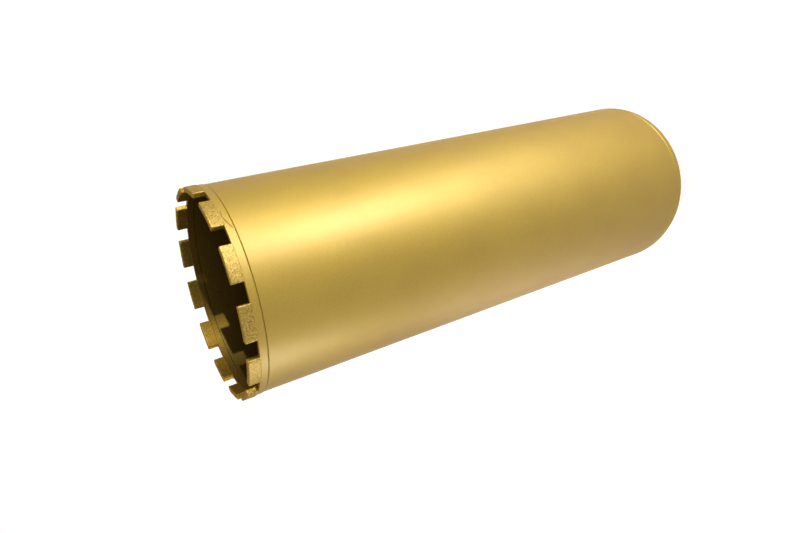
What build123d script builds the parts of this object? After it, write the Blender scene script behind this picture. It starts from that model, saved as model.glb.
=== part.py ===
from build123d import *
import os
from math import degrees

# Diamond core bit, millimetres, standing on the drive face of its hub with the crown up.
# The origin is the centre of the hub's drive face, and +Z runs along the axis towards the teeth.

# Crown: the cutting segments on their ring
crown_d = 152.0            # over the outer faces of the segments: the hole that the bit cuts
segment_count = 13
segment_length = 24.0      # along the outer arc
segment_thickness = 4.0
segment_height = 8.0
segment_proud = 0.6        # side clearance that each segment cuts for the ring
segment_corner = 0.5       # bevel down each corner of a segment
segment_edge = 0.4         # bevel worn round the cutting crest
first_segment_angle = 0.0  # degrees from +X to the middle of the first segment
ring_proud = 0.4           # step from the barrel out to the ring
ring_wall = 2.8
ring_height = 5.4

# Barrel: the rolled and welded tube
barrel_wall = 2.0
barrel_length = 394.0
joint_groove = 0.5         # edges broken where two pieces are butted and welded

# Back plate: the disc that closes the barrel
plate_thickness = 6.0
plate_rim_radius = 1.5
register_height = 3.0      # shoulder on the plate that centres the barrel
register_width = 5.0
register_clearance = 0.1

# Drive hub: turned, threaded for a 1-1/4 in - 7 UNC spindle
hub_d = 50.0
hub_length = 34.0
hub_edge = 1.0
weld_leg = 4.0             # fillet weld between the hub and the plate
spigot_d = 38.0            # turned end of the hub, let into the plate
spigot_clearance = 0.1
thread_minor_d = 28.1
thread_lead_in = 1.8       # countersink at the mouth of the thread
thread_run_out = 1.0       # countersink at the inner end
flat_across = 41.0         # between the two flats for the spanner
flat_width = 15.0
flat_offset = 9.0          # from the drive face to the near side of the flats

# Radii
crown_r = crown_d / 2
ring_r = crown_r - segment_proud
barrel_r = ring_r - ring_proud
hub_r = hub_d / 2
spigot_r = spigot_d / 2
plate_bore_r = spigot_r + spigot_clearance
register_r = barrel_r - barrel_wall - register_clearance
thread_minor_r = thread_minor_d / 2

# Places along the axis
plate_z = hub_length
barrel_z = plate_z + plate_thickness
ring_z = barrel_z + barrel_length
segment_z = ring_z + ring_height


def save(piece, name):
    """Name a finished piece and write it to its own file."""
    piece.part.label = name
    export_step(piece.part, f"parts/{name}.step")


def rims(piece, radius):
    """The piece's round edges of one radius, from the lowest up."""
    circles = piece.edges().filter_by(GeomType.CIRCLE)
    return circles.filter_by(lambda edge: abs(edge.radius - radius) < 0.01).sort_by(Axis.Z)


def make_drive_hub():
    """Hub with a water way through its thread, a fillet weld at its root and two spanner flats."""
    with BuildPart() as hub:
        with BuildSketch(Plane.XZ):
            with BuildLine():
                Polyline(
                    (hub_r, 0),
                    (hub_r, hub_length - weld_leg),
                    (hub_r + weld_leg, hub_length),
                    (spigot_r, hub_length),
                    (spigot_r, barrel_z),
                    (thread_minor_r, barrel_z),
                    (thread_minor_r, 0),
                    close=True,
                )
            make_face()
        revolve(axis=Axis.Z)
        chamfer(rims(hub, hub_r)[0], hub_edge)
        chamfer(rims(hub, thread_minor_r)[0], thread_lead_in)
        chamfer(rims(hub, thread_minor_r)[-1], thread_run_out)
        with BuildSketch(Plane.XY.offset(flat_offset)):
            Circle(hub_d)
            Rectangle(2 * hub_d, flat_across, mode=Mode.SUBTRACT)
        extrude(amount=flat_width, mode=Mode.SUBTRACT)
    save(hub, "drive_hub")


def make_back_plate():
    """Disc with a register inside the barrel and a bore for the hub's spigot."""
    with BuildPart() as plate:
        with BuildSketch(Plane.XY.offset(plate_z)):
            Circle(barrel_r)
        extrude(amount=plate_thickness)
        chamfer(rims(plate, barrel_r)[-1], joint_groove)
        fillet(rims(plate, barrel_r)[0], plate_rim_radius)
        with BuildSketch(Plane.XY.offset(barrel_z)):
            Circle(register_r)
            Circle(register_r - register_width, mode=Mode.SUBTRACT)
        extrude(amount=register_height)
        with Locations((0, 0, barrel_z)):
            Hole(plate_bore_r)
        chamfer(rims(plate, plate_bore_r)[-1], joint_groove)
    save(plate, "back_plate")


def make_barrel():
    """Thin tube, its outer edges broken where the plate and the ring are welded on."""
    with BuildPart() as barrel:
        with BuildSketch(Plane.XY.offset(barrel_z)):
            Circle(barrel_r)
            Circle(barrel_r - barrel_wall, mode=Mode.SUBTRACT)
        extrude(amount=barrel_length)
        chamfer(rims(barrel, barrel_r), joint_groove)
    save(barrel, "barrel")


def make_crown_ring():
    """Steel ring, proud of the barrel inside and out, that carries the segments."""
    with BuildPart() as ring:
        with BuildSketch(Plane.XY.offset(ring_z)):
            Circle(ring_r)
            Circle(ring_r - ring_wall, mode=Mode.SUBTRACT)
        extrude(amount=ring_height)
        chamfer(rims(ring, ring_r)[0], joint_groove)
        chamfer(rims(ring, ring_r - ring_wall)[0], joint_groove)
    save(ring, "crown_ring")


def make_segment(number):
    """One curved abrasive block, seated on the ring's front face."""
    arc = degrees(segment_length / crown_r)
    middle = first_segment_angle + (number - 1) * 360 / segment_count
    with BuildPart() as segment:
        with BuildSketch(Plane.XY.offset(segment_z).rotated((0, 0, middle))):
            with BuildLine():
                outer = CenterArc((0, 0), crown_r, -arc / 2, arc)
                inner = CenterArc((0, 0), crown_r - segment_thickness, -arc / 2, arc)
                Line(outer @ 0, inner @ 0)
                Line(outer @ 1, inner @ 1)
            make_face()
        extrude(amount=segment_height)
        chamfer(segment.edges().filter_by(Axis.Z), segment_corner)
        chamfer(segment.faces().sort_by(Axis.Z)[-1].edges(), segment_edge)
    save(segment, f"segment_{number:02d}")


os.makedirs("parts", exist_ok=True)
make_drive_hub()
make_back_plate()
make_barrel()
make_crown_ring()
for number in range(1, segment_count + 1):
    make_segment(number)
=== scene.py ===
import math
import bmesh
import bpy
from mathutils import Matrix, Quaternion, Vector, noise


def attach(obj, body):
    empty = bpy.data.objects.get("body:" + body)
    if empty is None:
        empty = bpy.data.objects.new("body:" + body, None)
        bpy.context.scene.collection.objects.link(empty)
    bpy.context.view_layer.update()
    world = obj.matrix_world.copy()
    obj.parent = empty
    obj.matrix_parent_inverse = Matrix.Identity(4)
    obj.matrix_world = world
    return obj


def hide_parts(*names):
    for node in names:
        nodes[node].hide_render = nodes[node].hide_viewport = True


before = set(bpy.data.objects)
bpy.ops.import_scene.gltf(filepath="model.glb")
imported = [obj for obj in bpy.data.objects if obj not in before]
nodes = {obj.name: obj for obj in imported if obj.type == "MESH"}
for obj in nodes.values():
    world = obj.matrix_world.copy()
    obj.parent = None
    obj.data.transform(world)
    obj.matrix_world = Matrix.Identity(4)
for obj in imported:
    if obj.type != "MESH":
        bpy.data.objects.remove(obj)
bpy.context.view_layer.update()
mm = 0.001
print("frame loaded,", len(nodes), "nodes")


def hexColour(code):
    channels = [int(code[i:i + 2], 16) / 255 for i in (0, 2, 4)]
    linear = [c / 12.92 if c <= 0.04045 else ((c + 0.055) / 1.055) ** 2.4 for c in channels]
    return (*linear, 1.0)


def addNode(tree, kind, values=None, links=None):
    made = tree.nodes.new("ShaderNode" + kind)
    for name, value in (values or {}).items():
        if name == "stops":
            for _ in value[2:]:
                made.color_ramp.elements.new(0.5)
            for place, (at, code) in enumerate(value):
                made.color_ramp.elements[place].position = at
                made.color_ramp.elements[place].color = hexColour(code)
        elif isinstance(name, int) or name in made.inputs:
            made.inputs[name].default_value = value
        else:
            setattr(made, name, value)
    for name, source in (links or {}).items():
        tree.links.new(source, made.inputs[name])
    return made


def newMaterial(name):
    material = bpy.data.materials.new(name)
    material.use_nodes = True
    material.node_tree.nodes.clear()
    return material, material.node_tree


# distance from the bit's axis, and height above the hub's drive face
def axisPlace(tree, where):
    along = addNode(tree, "SeparateXYZ", None, {"Vector": where})
    across = addNode(tree, "CombineXYZ", None, {"X": along.outputs["X"], "Y": along.outputs["Y"]})
    radius = addNode(tree, "VectorMath", {"operation": "LENGTH"}, {0: across.outputs[0]})
    return radius.outputs["Value"], along.outputs["Z"]


def finishPiece(name, bm, material, sharpAngle=40):
    mesh = bpy.data.meshes.new(name)
    bm.to_mesh(mesh)
    bm.free()
    mesh.materials.append(material)
    mesh.shade_smooth()
    mesh.set_sharp_from_angle(angle=math.radians(sharpAngle))
    piece = bpy.data.objects.new(name, mesh)
    bpy.context.scene.collection.objects.link(piece)
    return piece


# Camera: close to the crown, looking down along the tube
camera = {
    "place": (-0.02496, -0.36746, 0.51545),
    "aim": (-0.01405, 0.0, 0.35279),
    "roll": -106.44,
    "sensor": 36.0,
    "lens": 23.574,
    "shiftX": 0.0829,
    "shiftY": 0.0169,
}


def makeCamera(spec):
    data = bpy.data.cameras.new("studioCamera")
    data.sensor_width = spec["sensor"]
    data.lens = spec["lens"]
    data.shift_x = spec["shiftX"]
    data.shift_y = spec["shiftY"]
    stand = bpy.data.objects.new("studioCamera", data)
    look = Vector(spec["aim"]) - Vector(spec["place"])
    stand.location = spec["place"]
    stand.rotation_mode = "QUATERNION"
    roll = Quaternion((0, 0, 1), math.radians(spec["roll"]))
    stand.rotation_quaternion = look.to_track_quat("-Z", "Y") @ roll
    bpy.context.scene.collection.objects.link(stand)
    bpy.context.scene.camera = stand


makeCamera(camera)
bpy.context.scene.view_settings.view_transform = "Standard"
print("camera set")


# Studio: angles go round from the front (-Y) towards +X, distances and sizes in metres
studio = {
    "worldLight": 0.18,
    "floorColour": "A8A8A6",
    "floorLift": 0.72,
    "fadeFrom": 0.5,        # the paper lightens between these distances from the axis
    "fadeTo": 1.6,
    "floorRadius": 12.0,
    "poolSlant": 0.15,      # a pool lamp hangs this much farther out than the spot it lights
    "lamps": [
        {"name": "keyBox", "azimuth": 30, "distance": 1.2, "height": 0.13, "to": 0.24,
         "size": (0.5, 0.26), "power": 4.15},
        {"name": "lowKey", "azimuth": 33, "distance": 0.6, "height": 0.1, "to": 0.2,
         "size": (0.25, 0.18), "power": 1.8},
        {"name": "hardKey", "azimuth": 46.8, "distance": 1.6, "height": 0.61, "to": 0.44,
         "size": (0.02, 0.02), "power": 24},
        {"name": "sideBox", "azimuth": -88, "distance": 1.2, "height": 0.2, "to": 0.24,
         "size": (0.5, 0.4), "power": 4.9},
    ],
    "pools": [
        {"name": "keyPool", "azimuth": 38, "reach": 0.45, "height": 0.7,
         "size": 0.2, "spread": 50, "power": 3.6},
        {"name": "sidePool", "azimuth": -95, "reach": 0.4, "height": 0.7,
         "size": 0.2, "spread": 50, "power": 2.3},
        {"name": "rearPoolLeft", "azimuth": -142, "reach": 0.75, "height": 1.0,
         "size": 0.4, "spread": 60, "power": 1.2},
        {"name": "rearPoolRight", "azimuth": 134, "reach": 0.6, "height": 1.0,
         "size": 0.4, "spread": 60, "power": 1.2},
    ],
}


def onRay(tree):
    path = addNode(tree, "LightPath")
    seen = addNode(tree, "Math", {"operation": "MAXIMUM"},
                   {0: path.outputs["Is Camera Ray"], 1: path.outputs["Is Glossy Ray"]})
    return addNode(tree, "Math", {"operation": "MAXIMUM"},
                   {0: seen.outputs[0], 1: path.outputs["Is Transmission Ray"]}).outputs[0]


def makeWorld(spec):
    world = bpy.data.worlds.new("studioWorld")
    bpy.context.scene.world = world
    world.use_nodes = True
    tree = world.node_tree
    tree.nodes.clear()
    level = addNode(tree, "MapRange", {"To Min": spec["worldLight"], "To Max": 1.0},
                    {"Value": onRay(tree)})
    back = addNode(tree, "Background", {"Color": (1, 1, 1, 1)}, {"Strength": level.outputs[0]})
    addNode(tree, "OutputWorld", None, {"Surface": back.outputs[0]})


def makeFloor(spec):
    material, tree = newMaterial("palePaperFloor")
    where = addNode(tree, "TexCoord")
    far = addNode(tree, "VectorMath", {"operation": "LENGTH"}, {0: where.outputs["Object"]})
    level = addNode(tree, "MapRange",
                    {"From Min": spec["fadeFrom"], "From Max": spec["fadeTo"],
                     "To Min": spec["floorLift"], "To Max": 1.0}, {"Value": far.outputs["Value"]})
    lift = addNode(tree, "Math", {"operation": "MULTIPLY"}, {0: onRay(tree), 1: level.outputs[0]})
    glow = addNode(tree, "Emission", {"Color": (1, 1, 1, 1)}, {"Strength": lift.outputs[0]})
    paper = addNode(tree, "BsdfDiffuse", {"Color": hexColour(spec["floorColour"])})
    both = addNode(tree, "AddShader", None, {0: glow.outputs[0], 1: paper.outputs[0]})
    addNode(tree, "OutputMaterial", None, {"Surface": both.outputs[0]})
    bm = bmesh.new()
    bmesh.ops.create_circle(bm, cap_ends=True, segments=96, radius=spec["floorRadius"])
    floor = finishPiece("studioFloor", bm, material)


def makeLamp(name, place, aim, size, power, spread=180):
    data = bpy.data.lights.new(name, "AREA")
    data.shape = "RECTANGLE"
    data.size, data.size_y = size
    data.energy = power
    data.spread = math.radians(spread)
    stand = bpy.data.objects.new(name, data)
    stand.location = place
    stand.rotation_euler = (Vector(place) - Vector(aim)).to_track_quat("Z", "Y").to_euler()
    stand.visible_camera = False
    bpy.context.scene.collection.objects.link(stand)


def roundFromFront(azimuth, radius, height):
    turn = math.radians(azimuth)
    return math.sin(turn) * radius, -math.cos(turn) * radius, height


makeWorld(studio)
makeFloor(studio)
for lamp in studio["lamps"]:
    place = roundFromFront(lamp["azimuth"], lamp["distance"], lamp["height"])
    makeLamp(lamp["name"], place, (0, 0, lamp["to"]), lamp["size"], lamp["power"])
for pool in studio["pools"]:
    place = roundFromFront(pool["azimuth"], pool["reach"] + studio["poolSlant"], pool["height"])
    spot = roundFromFront(pool["azimuth"], pool["reach"], 0)
    makeLamp(pool["name"], place, spot, (pool["size"], pool["size"]), pool["power"], pool["spread"])
print("studio set")


# Satin gold paint, bronze and mica flakes in a thin sprayed binder: a broad soft gleam with a fine grain.
# The tube is left bare inside: rolled steel with a dark scale, dusted with overspray near the crown; that
# overspray is coloured darker than the outer paint as painted shade in the hollow.
paint = {
    "gold": "8E7316",
    "goldAt": 0.38,         # places in the ramp between the two golds
    "goldPale": "967B1B",
    "paleAt": 0.62,
    "metallic": 0.75,
    "roughness": 0.54,
    "flake": 0.9,           # real flakes are 0.05 mm, drawn coarser so that they show
    "flakeShare": 0.6,
    "flakeBump": 0.15,
    "flakeDepth": 0.03,
    "cloud": 40.0,
    "cloudShare": 0.4,
    "scaleDark": "1A1510",
    "darkAt": 0.35,
    "scalePale": "3A2F22",
    "brownAt": 0.7,
    "scaleGrain": 6.0,
    "boreWall": 74.0,       # nearer the axis than this is the bare inside of the tube
    "plateFace": 39.5,      # and higher than this
    "dustFrom": 250.0,
    "dustTo": 400.0,
    "dustGrain": 1.2,
    "speckFrom": 0.1,       # how sharply the dust breaks up into specks
    "speckTo": 0.45,
    "coat": 0.3,
    "coatEnd": 439.3,       # the clear coat stops short of the ring's ground front face
    "coatIor": 2.2,         # lacquer is 1.5; raised so that gloss face on gains on gloss along the edges
    "coatRoughness": 0.4,
    "edgeTint": "B58E3C",
    "edgeLevel": 0.35,
    "dull": "6A5420",       # dry overspray inside, darker than the outer paint as painted shade in the tube's hollow
    "dullMetallic": 0.85,
    "dullRoughness": 0.45,
}


# A knock that scored the ring beside one segment, through the clear coat. Short strokes that meet:
# each goes from and to a place, in degrees round from +X and millimetres up.
scratch = {
    "strokes": [((304.9, 437.6), (301.2, 438.7)), ((301.9, 438.8), (297.6, 437.6)),
                ((298.4, 437.9), (292.9, 435.3)), ((300.6, 438.4), (293.4, 434.9))],
    "radius": 75.4,
    "halfWidth": 0.24,
    "waver": 0.35,
    "waverGrain": 3.0,
    "taper": 0.4,           # cut to full depth over this share of the length each way from its middle
    "reachFrom": 1.5,       # it fades out between these distances from the skin
    "reachTo": 2.0,
    "depth": 0.1,
    "colour": "46330F",
}


def scratchMask(tree, where, spec):
    masks = []
    for start, end in spec["strokes"]:
        first, last = [Vector((math.cos(math.radians(turn)) * spec["radius"],
                               math.sin(math.radians(turn)) * spec["radius"], height)) * mm
                       for turn, height in (start, end)]
        along = (last - first).normalized()
        middle = (first + last) / 2
        out = Vector((middle.x, middle.y, 0)).normalized()
        out = (out - along * out.dot(along)).normalized()
        turned = Matrix((along, out.cross(along), out)).transposed().to_euler()
        local = addNode(tree, "Mapping", {"vector_type": "TEXTURE", "Location": first, "Rotation": turned},
                        {"Vector": where})
        parts = addNode(tree, "SeparateXYZ", None, {"Vector": local.outputs[0]})
        # across the stroke, wavering
        wave = addNode(tree, "TexNoise", {"Scale": 1 / (spec["waverGrain"] * mm), "Detail": 2.0},
                       {"Vector": where})
        shift = addNode(tree, "MapRange", {"To Min": -spec["waver"] * mm, "To Max": spec["waver"] * mm},
                        {"Value": wave.outputs["Fac"]})
        side = addNode(tree, "Math", {"operation": "ADD"}, {0: parts.outputs["Y"], 1: shift.outputs[0]})
        side = addNode(tree, "Math", {"operation": "ABSOLUTE"}, {0: side.outputs[0]})
        line = addNode(tree, "MapRange",
                       {"From Min": 0, "From Max": spec["halfWidth"] * mm, "To Min": 1, "To Max": 0},
                       {"Value": side.outputs[0]})
        # along it, fading towards its ends
        length = (last - first).length
        near = addNode(tree, "Math", {"operation": "SUBTRACT", 1: length / 2}, {0: parts.outputs["X"]})
        near = addNode(tree, "Math", {"operation": "ABSOLUTE"}, {0: near.outputs[0]})
        ends = addNode(tree, "MapRange",
                       {"From Min": length * spec["taper"], "From Max": length / 2,
                        "To Min": 1, "To Max": 0}, {"Value": near.outputs[0]})
        # and on the skin only
        depth = addNode(tree, "Math", {"operation": "ABSOLUTE"}, {0: parts.outputs["Z"]})
        deep = addNode(tree, "MapRange",
                       {"From Min": spec["reachFrom"] * mm, "From Max": spec["reachTo"] * mm,
                        "To Min": 1, "To Max": 0}, {"Value": depth.outputs[0]})
        mask = addNode(tree, "Math", {"operation": "MULTIPLY"}, {0: line.outputs[0], 1: ends.outputs[0]})
        mask = addNode(tree, "Math", {"operation": "MULTIPLY"}, {0: mask.outputs[0], 1: deep.outputs[0]})
        masks.append(mask)
    most = masks[0]
    for mask in masks[1:]:
        most = addNode(tree, "Math", {"operation": "MAXIMUM"}, {0: most.outputs[0], 1: mask.outputs[0]})
    return most.outputs[0]


def makeGoldPaint(spec):
    material, tree = newMaterial("satinGoldPaint")
    where = addNode(tree, "TexCoord").outputs["Object"]
    radius, height = axisPlace(tree, where)
    flake = addNode(tree, "TexNoise", {"Scale": 1 / (spec["flake"] * mm), "Detail": 3.0}, {"Vector": where})
    cloud = addNode(tree, "TexNoise", {"Scale": 1 / (spec["cloud"] * mm), "Detail": 3.0}, {"Vector": where})
    cloudy = addNode(tree, "Math", {"operation": "MULTIPLY", 1: spec["cloudShare"]},
                     {0: cloud.outputs["Fac"]})
    blend = addNode(tree, "Math", {"operation": "MULTIPLY_ADD", 1: spec["flakeShare"]},
                    {0: flake.outputs["Fac"], 2: cloudy.outputs[0]})
    shade = addNode(tree, "ValToRGB",
                    {"stops": [(spec["goldAt"], spec["gold"]), (spec["paleAt"], spec["goldPale"])]},
                    {"Fac": blend.outputs[0]})
    # bare scale inside, dusted with overspray towards the crown
    within = addNode(tree, "Math", {"operation": "LESS_THAN", 1: spec["boreWall"] * mm}, {0: radius})
    above = addNode(tree, "Math", {"operation": "GREATER_THAN", 1: spec["plateFace"] * mm}, {0: height})
    inside = addNode(tree, "Math", {"operation": "MULTIPLY"}, {0: within.outputs[0], 1: above.outputs[0]})
    dust = addNode(tree, "MapRange", {"From Min": spec["dustFrom"] * mm, "From Max": spec["dustTo"] * mm},
                   {"Value": height})
    speck = addNode(tree, "TexNoise", {"Scale": 1 / (spec["dustGrain"] * mm), "Detail": 4.0},
                    {"Vector": where})
    dustEdge = addNode(tree, "Math", {"operation": "SUBTRACT"},
                       {0: dust.outputs[0], 1: speck.outputs["Fac"]})
    dusted = addNode(tree, "MapRange", {"From Min": spec["speckFrom"], "From Max": spec["speckTo"]},
                     {"Value": dustEdge.outputs[0]})
    bareness = addNode(tree, "Math", {"operation": "SUBTRACT", 0: 1.0}, {1: dusted.outputs[0]})
    bare = addNode(tree, "Math", {"operation": "MULTIPLY"}, {0: inside.outputs[0], 1: bareness.outputs[0]})
    grain = addNode(tree, "TexNoise",
                    {"Scale": 1 / (spec["scaleGrain"] * mm), "Detail": 6.0, "Roughness": 0.7},
                    {"Vector": where})
    rust = addNode(tree, "ValToRGB",
                   {"stops": [(spec["darkAt"], spec["scaleDark"]), (spec["brownAt"], spec["scalePale"])]},
                   {"Fac": grain.outputs["Fac"]})
    # the inside takes the darker dull colour: dry overspray, darkened further as painted shade in the
    # tube's hollow
    dryAndShadedInside = addNode(tree, "Mix", {"data_type": "RGBA", "B": hexColour(spec["dull"])},
                      {"Factor": inside.outputs[0], "A": shade.outputs["Color"]})
    colour = addNode(tree, "Mix", {"data_type": "RGBA"},
                     {"Factor": bare.outputs[0], "A": dryAndShadedInside.outputs["Result"],
                      "B": rust.outputs["Color"]})
    metal = addNode(tree, "MapRange", {"To Min": spec["metallic"], "To Max": spec["dullMetallic"]},
                    {"Value": inside.outputs[0]})
    rough = addNode(tree, "MapRange", {"To Min": spec["roughness"], "To Max": spec["dullRoughness"]},
                    {"Value": inside.outputs[0]})
    # no clear coat inside, on the ring's front face or in the score
    cut = scratchMask(tree, where, scratch)
    front = addNode(tree, "Math", {"operation": "GREATER_THAN", 1: spec["coatEnd"] * mm}, {0: height})
    uncoated = addNode(tree, "Math", {"operation": "MAXIMUM"}, {0: front.outputs[0], 1: inside.outputs[0]})
    uncoated = addNode(tree, "Math", {"operation": "MAXIMUM"}, {0: uncoated.outputs[0], 1: cut})
    coat = addNode(tree, "MapRange", {"To Min": spec["coat"], "To Max": 0.0},
                   {"Value": uncoated.outputs[0]})
    scored = addNode(tree, "Mix", {"data_type": "RGBA", "B": hexColour(scratch["colour"])},
                     {"Factor": cut, "A": colour.outputs["Result"]})
    grained = addNode(tree, "Bump", {"Strength": spec["flakeBump"], "Distance": spec["flakeDepth"] * mm},
                      {"Height": flake.outputs["Fac"]})
    bump = addNode(tree, "Bump", {"Strength": 1.0, "Distance": scratch["depth"] * mm, "invert": True},
                   {"Height": cut, "Normal": grained.outputs[0]})
    skin = addNode(tree, "BsdfPrincipled",
                   {"Specular Tint": hexColour(spec["edgeTint"]), "Specular IOR Level": spec["edgeLevel"],
                    "Coat Roughness": spec["coatRoughness"], "Coat IOR": spec["coatIor"]},
                   {"Base Color": scored.outputs["Result"], "Metallic": metal.outputs[0],
                    "Roughness": rough.outputs[0], "Coat Weight": coat.outputs[0],
                    "Normal": bump.outputs[0]})
    addNode(tree, "OutputMaterial", None, {"Surface": skin.outputs[0]})
    return material


# Sintered segment: bronze powder pressed and sintered round diamond grit, grainy like a grindstone,
# with the gold paint thin over it and rubbed pale along its edges, and its inner faces darkened brown as
# thin paint and as painted shade.
sinter = {
    "pit": "5E4716",
    "pitAt": 0.30,          # places in the ramp from the pits up to the grains
    "paint": "80651C",
    "paintAt": 0.43,
    "rubbed": "B39A4C",
    "rubbedAt": 0.72,
    "wornFrom": 0.25,       # how sharply the rubbed edges break up into grains
    "wornTo": 0.5,
    "bare": "54380F",       # the powder's own brown where little paint reached, deepened to stand in as painted shade on the inner faces
    "innerShadeShare": 0.55,
    "bareTo": 72.2,
    "paintedFrom": 73.6,
    "coat": 0.15,           # only the outer faces took the clear coat
    "coatIor": 2.2,
    "coatRoughness": 0.4,
    "coatFrom": 75.2,
    "coatTo": 75.7,
    "edgeTint": "C9A24A",
    "edgeLevel": 0.35,
    "metallic": 0.8,
    "roughness": 0.5,
    "grit": 0.9,            # real grit is 0.4 mm, drawn coarser so that it shows
    "gritBump": 0.6,
    "gritDepth": 0.12,
}


def makeSinter(spec):
    material, tree = newMaterial("sinteredSegment")
    where = addNode(tree, "TexCoord").outputs["Object"]
    radius, _ = axisPlace(tree, where)
    grit = addNode(tree, "TexNoise", {"Scale": 1 / (spec["grit"] * mm), "Detail": 4.0, "Roughness": 0.65},
                   {"Vector": where})
    shade = addNode(tree, "ValToRGB",
                    {"stops": [(spec["pitAt"], spec["pit"]), (spec["paintAt"], spec["paint"]),
                               (spec["rubbedAt"], spec["rubbed"])]}, {"Fac": grit.outputs["Fac"]})
    # faces nearer the axis darken towards the powder's brown: thin paint, and painted shade on the faces
    # that look into the tube
    thinPaintAndShade = addNode(tree, "MapRange",
                   {"From Min": spec["bareTo"] * mm, "From Max": spec["paintedFrom"] * mm,
                    "To Min": spec["innerShadeShare"], "To Max": 0.0}, {"Value": radius})
    innerShaded = addNode(tree, "Mix", {"data_type": "RGBA", "B": hexColour(spec["bare"])},
                    {"Factor": thinPaintAndShade.outputs[0], "A": shade.outputs["Color"]})
    # the mesh says how near an edge each point is
    edge = addNode(tree, "Attribute", {"attribute_name": "rub"})
    rub = addNode(tree, "Math", {"operation": "MULTIPLY"}, {0: edge.outputs["Fac"], 1: grit.outputs["Fac"]})
    worn = addNode(tree, "MapRange", {"From Min": spec["wornFrom"], "From Max": spec["wornTo"]},
                   {"Value": rub.outputs[0]})
    colour = addNode(tree, "Mix", {"data_type": "RGBA", "B": hexColour(spec["rubbed"])},
                     {"Factor": worn.outputs[0], "A": innerShaded.outputs["Result"]})
    bump = addNode(tree, "Bump", {"Strength": spec["gritBump"], "Distance": spec["gritDepth"] * mm},
                   {"Height": grit.outputs["Fac"]})
    coat = addNode(tree, "MapRange", {"From Min": spec["coatFrom"] * mm, "From Max": spec["coatTo"] * mm,
                                      "To Max": spec["coat"]}, {"Value": radius})
    skin = addNode(tree, "BsdfPrincipled",
                   {"Metallic": spec["metallic"], "Roughness": spec["roughness"],
                    "Specular Tint": hexColour(spec["edgeTint"]), "Specular IOR Level": spec["edgeLevel"],
                    "Coat Roughness": spec["coatRoughness"], "Coat IOR": spec["coatIor"]},
                   {"Base Color": colour.outputs["Result"], "Coat Weight": coat.outputs[0],
                    "Normal": bump.outputs[0]})
    addNode(tree, "OutputMaterial", None, {"Surface": skin.outputs[0]})
    return material


# Turned steel: the hub's bore and threads, cut bright on a lathe after painting, fine rings round the axis
turned = {
    "steel": "B4B2AC",
    "steelDull": "8C8A86",
    "dullAt": 0.2,
    "brightAt": 0.8,
    "roughness": 0.28,
    "toolMark": 0.6,        # a finishing cut leaves 0.1 mm marks, drawn coarser so that they show
    "waveLength": 0.314,    # the band pattern repeats at this distance when its scale is 1
    "bareWithin": 16.6,
    "flakeBump": 0.2,
}


def makeHubFinish(spec, gold):
    material, tree = newMaterial("turnedSteelPainted")
    where = addNode(tree, "TexCoord").outputs["Object"]
    radius, _ = axisPlace(tree, where)
    painted = addNode(tree, "Math", {"operation": "GREATER_THAN", 1: spec["bareWithin"] * mm}, {0: radius})
    rings = addNode(tree, "TexWave",
                    {"wave_type": "BANDS", "bands_direction": "Z", "Distortion": 1.5, "Detail": 3.0,
                     "Scale": spec["waveLength"] / (spec["toolMark"] * mm)}, {"Vector": where})
    steel = addNode(tree, "ValToRGB",
                    {"stops": [(spec["dullAt"], spec["steelDull"]), (spec["brightAt"], spec["steel"])]},
                    {"Fac": rings.outputs["Fac"]})
    flake = addNode(tree, "TexNoise", {"Scale": 1 / (gold["flake"] * mm), "Detail": 3.0}, {"Vector": where})
    shade = addNode(tree, "ValToRGB",
                    {"stops": [(gold["goldAt"], gold["gold"]), (gold["paleAt"], gold["goldPale"])]},
                    {"Fac": flake.outputs["Fac"]})
    colour = addNode(tree, "Mix", {"data_type": "RGBA"},
                     {"Factor": painted.outputs[0], "A": steel.outputs["Color"],
                      "B": shade.outputs["Color"]})
    metal = addNode(tree, "MapRange", {"To Min": 1.0, "To Max": gold["metallic"]},
                    {"Value": painted.outputs[0]})
    rough = addNode(tree, "MapRange", {"To Min": spec["roughness"], "To Max": gold["roughness"]},
                    {"Value": painted.outputs[0]})
    bump = addNode(tree, "Bump", {"Strength": spec["flakeBump"], "Distance": gold["flakeDepth"] * mm},
                   {"Height": flake.outputs["Fac"]})
    coat = addNode(tree, "MapRange", {"To Max": gold["coat"]}, {"Value": painted.outputs[0]})
    skin = addNode(tree, "BsdfPrincipled",
                   {"Coat Roughness": gold["coatRoughness"], "Coat IOR": gold["coatIor"]},
                   {"Base Color": colour.outputs["Result"], "Metallic": metal.outputs[0],
                    "Roughness": rough.outputs[0], "Coat Weight": coat.outputs[0],
                    "Normal": bump.outputs[0]})
    addNode(tree, "OutputMaterial", None, {"Surface": skin.outputs[0]})
    return material


goldPaint = makeGoldPaint(paint)
sintered = makeSinter(sinter)
hubFinish = makeHubFinish(turned, paint)
for name, node in nodes.items():
    node.data.materials.clear()
    node.data.materials.append(sintered if name.startswith("segment") else goldPaint)
print("materials made")


# Segments: worn blocks, their faces pitted, their crest and corners rubbed. Millimetres.
segment = {
    "count": 13,
    "length": 24.0,         # along the outer arc
    "outer": 76.0,
    "thickness": 4.0,
    "foot": 439.4,
    "height": 8.0,
    "corner": 0.6,
    "crest": 0.5,
    "cell": 0.5,
    "skin": 0.04,           # the roughness starts this far under the nominal face
    "roughDepth": 0.16,
    "grain": 1.0,
    "wearDepth": 0.25,
    "wearGrain": 4.0,
    "wearReach": 1.5,       # wear goes this far in from an edge
    "rubWidth": 0.9,
    "footWidth": 0.98,      # the seated face is narrowed to this share of its width
    "tolerance": 0.01,
    "sharpAngle": 60,
}


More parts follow.
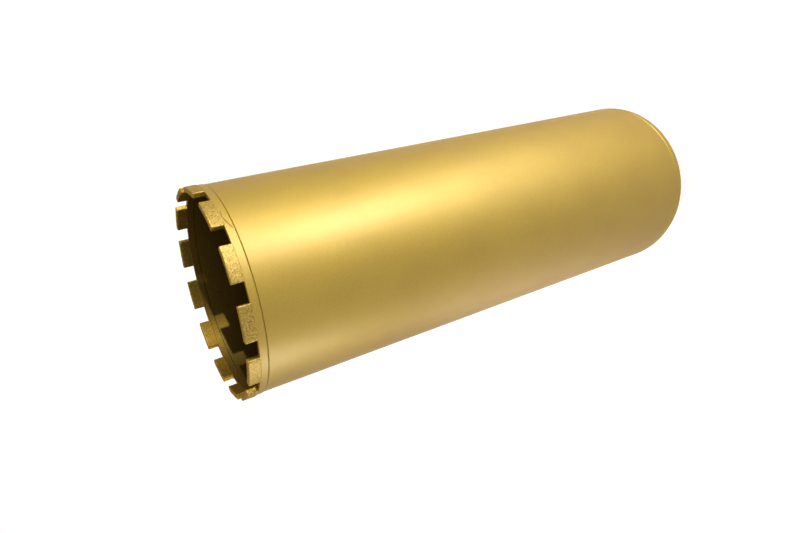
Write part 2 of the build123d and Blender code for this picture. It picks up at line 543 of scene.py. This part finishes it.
def makeSegment(number, spec):
    drift = Vector((number * 17.0, number * 5.0, 3.0))    # another part of the noise for each segment
    bm = bmesh.new()
    size = (spec["length"], spec["thickness"], spec["height"])
    bmesh.ops.create_cube(bm, size=1.0)
    bmesh.ops.scale(bm, vec=size, verts=bm.verts)
    near = spec["tolerance"]
    upright = [e for e in bm.edges if abs(e.verts[0].co.z - e.verts[1].co.z) > near]
    bmesh.ops.bevel(bm, geom=upright, offset=spec["corner"], affect="EDGES",
                    segments=2, profile=0.5, material=-1)
    crest = [e for e in bm.edges if min(v.co.z for v in e.verts) > size[2] / 2 - near]
    bmesh.ops.bevel(bm, geom=crest, offset=spec["crest"], affect="EDGES",
                    segments=2, profile=0.5, material=-1)
    for axis in range(3):
        count = int(size[axis] / spec["cell"])
        for cut in range(1, count):
            point = [0, 0, 0]
            normal = [0, 0, 0]
            point[axis] = -size[axis] / 2 + cut * size[axis] / count
            normal[axis] = 1
            geom = bm.verts[:] + bm.edges[:] + bm.faces[:]
            bmesh.ops.bisect_plane(bm, geom=geom, plane_co=point, plane_no=normal, dist=near)
    bm.normal_update()
    rub = bm.verts.layers.float.new("rub")
    turn = math.radians((number - 1) * 360 / spec["count"])
    moved = []
    for v in bm.verts:
        u, w, h = v.co
        fromEnd = size[0] / 2 - abs(u)
        fromSide = size[1] / 2 - abs(w)
        fromCrest = size[2] / 2 - h
        gaps = sorted((fromEnd, fromSide, fromCrest))
        edge = max(0.0, 1 - (gaps[0] + gaps[1]) / spec["rubWidth"])
        rough = 0.5 + 0.5 * noise.noise(v.co / spec["grain"] + drift)
        worn = max(0.0, noise.noise(v.co / spec["wearGrain"] + drift))
        wear = worn * max(0.0, 1 - gaps[1] / spec["wearReach"])
        depth = spec["skin"] + spec["roughDepth"] * rough ** 2 + spec["wearDepth"] * wear
        v[rub] = edge
        foot = h < -size[2] / 2 + near
        moved.append(Vector((u, w * spec["footWidth"], h)) if foot else v.co - v.normal * depth)
    for v, place in zip(bm.verts, moved):
        angle = turn + place.x / spec["outer"]
        radius = spec["outer"] - spec["thickness"] / 2 + place.y
        height = spec["foot"] + spec["height"] / 2 + place.z
        v.co = Vector((math.cos(angle) * radius, math.sin(angle) * radius, height)) * mm
    bmesh.ops.recalc_face_normals(bm, faces=bm.faces)
    piece = finishPiece(f"sinteredSegment{number:02d}", bm, sintered, spec["sharpAngle"])
    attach(piece, "root")
    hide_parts(f"segment_{number:02d}")
    return piece


for number in range(1, segment["count"] + 1):
    block = makeSegment(number, segment)
print("segments made,", len(block.data.polygons), "faces each")


def addPiece(name, bm, material, replaced=None, sharpAngle=40):
    piece = finishPiece(name, bm, material, sharpAngle)
    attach(piece, "root")
    if replaced:
        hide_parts(replaced)
    return piece


# Beads of braze in the corners under each segment's outer and inner faces. Millimetres.
bead = {
    "outerRadius": 75.5,
    "innerRadius": 72.5,
    "height": 439.2,
    "thickness": 0.36,
    "length": 22.6,
    "ripple": 1.1,
    "rippleDepth": 0.5,     # share of the thickness
    "step": 0.28,
}


def sweepBead(bm, radius, height, thickness, start, sweep, steps, sides=8):
    around = bmesh.ops.create_circle(bm, segments=sides, radius=thickness * mm)["verts"]
    bmesh.ops.rotate(bm, cent=(0, 0, 0), matrix=Matrix.Rotation(math.pi / 2, 3, "X"), verts=around)
    bmesh.ops.translate(bm, vec=(radius * mm, 0, height * mm), verts=around)
    bmesh.ops.rotate(bm, cent=(0, 0, 0), matrix=Matrix.Rotation(start, 3, "Z"), verts=around)
    edges = list({e for v in around for e in v.link_edges})
    bmesh.ops.spin(bm, geom=around + edges, cent=(0, 0, 0), axis=(0, 0, 1), angle=sweep, steps=steps,
                   use_merge=sweep == math.tau)


# one ripple in each pitch, made uneven by a slower noise
def rippleBead(bm, radius, height, depth, pitch, drift):
    for v in bm.verts:
        angle = math.atan2(v.co.y, v.co.x)
        core = Vector((math.cos(angle) * radius * mm, math.sin(angle) * radius * mm, height * mm))
        run = angle * radius / pitch
        lump = math.sin(run * math.tau) * 0.5 + noise.noise(Vector((run * 0.3, drift, 0)))
        v.co = core + (v.co - core) * (1 - depth * (0.5 + 0.5 * max(-1, min(1, lump))))


def makeBeads(spec):
    arc = spec["length"] / segment["outer"]
    steps = int(spec["length"] / spec["step"])
    bm = bmesh.new()
    for radius in (spec["outerRadius"], spec["innerRadius"]):
        for number in range(segment["count"]):
            part = bmesh.new()
            start = math.tau * number / segment["count"] - arc / 2
            sweepBead(part, radius, spec["height"], spec["thickness"], start, arc, steps)
            bmesh.ops.holes_fill(part, edges=[e for e in part.edges if e.is_boundary])
            rippleBead(part, radius, spec["height"], spec["rippleDepth"], spec["ripple"], number + 1)
            bmesh.ops.recalc_face_normals(part, faces=part.faces)
            hold = bpy.data.meshes.new("beadPart")
            part.to_mesh(hold)
            part.free()
            bm.from_mesh(hold)
            bpy.data.meshes.remove(hold)
    addPiece("segmentWeldBeads", bm, goldPaint)


makeBeads(bead)


# Seams where the tube is butted to the ring and to the back plate: a fine bead sunk in each broken edge
seam = {
    # name, height, radius and thickness
    "beads": (("crownSeam", 434.0, 74.45, 0.2), ("plateSeam", 40.0, 74.55, 0.38)),
    "ripple": 1.6,
    "rippleDepth": 0.35,
    "steps": 720,
}


def makeSeams(spec):
    for name, height, radius, thickness in spec["beads"]:
        bm = bmesh.new()
        sweepBead(bm, radius, height, thickness, 0, math.tau, spec["steps"])
        rippleBead(bm, radius, height, spec["rippleDepth"], spec["ripple"], height)
        bmesh.ops.recalc_face_normals(bm, faces=bm.faces)
        addPiece(name, bm, goldPaint)


makeSeams(seam)
print("beads made")


# Hub: the CAD solid's own shape with the thread cut in its bore, 1-1/4 in - 7 UNC. Millimetres.
thread = {
    "pitch": 3.629,
    "minor": 28.1,
    "major": 31.75,
    "flankAngle": 30.0,
    "crestFlat": 0.45,      # width left at the bottom of the groove
    "sunk": 0.6,            # the cutter starts this far inside the bore
    "from": -3.0,
    "to": 41.5,
    "turnSteps": 40,
    "mergeDistance": 0.001,
    "sharpAngle": 30,
}


def makeHub(spec):
    cutter = bmesh.new()
    inner = spec["minor"] / 2 - spec["sunk"]
    outer = spec["major"] / 2
    flat = spec["crestFlat"] / 2
    rise = (outer - inner) * math.tan(math.radians(spec["flankAngle"])) + flat
    outline = [(inner, -rise), (outer, -flat), (outer, flat), (inner, rise)]
    corners = [cutter.verts.new((x * mm, 0, (z + spec["from"]) * mm)) for x, z in outline]
    face = cutter.faces.new(corners)
    turns = (spec["to"] - spec["from"]) / spec["pitch"]
    steps = int(turns * spec["turnSteps"])
    bmesh.ops.spin(cutter, geom=list(face.edges) + corners, cent=(0, 0, 0), axis=(0, 0, 1),
                   dvec=(0, 0, spec["pitch"] * mm * turns / steps), angle=math.tau * turns, steps=steps)
    bmesh.ops.holes_fill(cutter, edges=[e for e in cutter.edges if e.is_boundary])
    bmesh.ops.recalc_face_normals(cutter, faces=cutter.faces)
    tool = finishPiece("threadCutter", cutter, hubFinish)
    body = bmesh.new()
    body.from_mesh(nodes["drive_hub"].data)
    bmesh.ops.remove_doubles(body, verts=body.verts, dist=spec["mergeDistance"] * mm)
    hub = addPiece("threadedHub", body, hubFinish, "drive_hub", spec["sharpAngle"])
    cut = hub.modifiers.new("thread", "BOOLEAN")
    cut.operation = "DIFFERENCE"
    cut.solver = "EXACT"
    cut.object = tool
    bpy.context.view_layer.update()
    made = bpy.data.meshes.new_from_object(hub.evaluated_get(bpy.context.evaluated_depsgraph_get()))
    hub.modifiers.clear()
    hub.data = made
    made.shade_smooth()
    made.set_sharp_from_angle(angle=math.radians(spec["sharpAngle"]))
    bpy.data.objects.remove(tool)
    return hub


hub = makeHub(thread)
print("hub threaded,", len(hub.data.polygons), "faces")
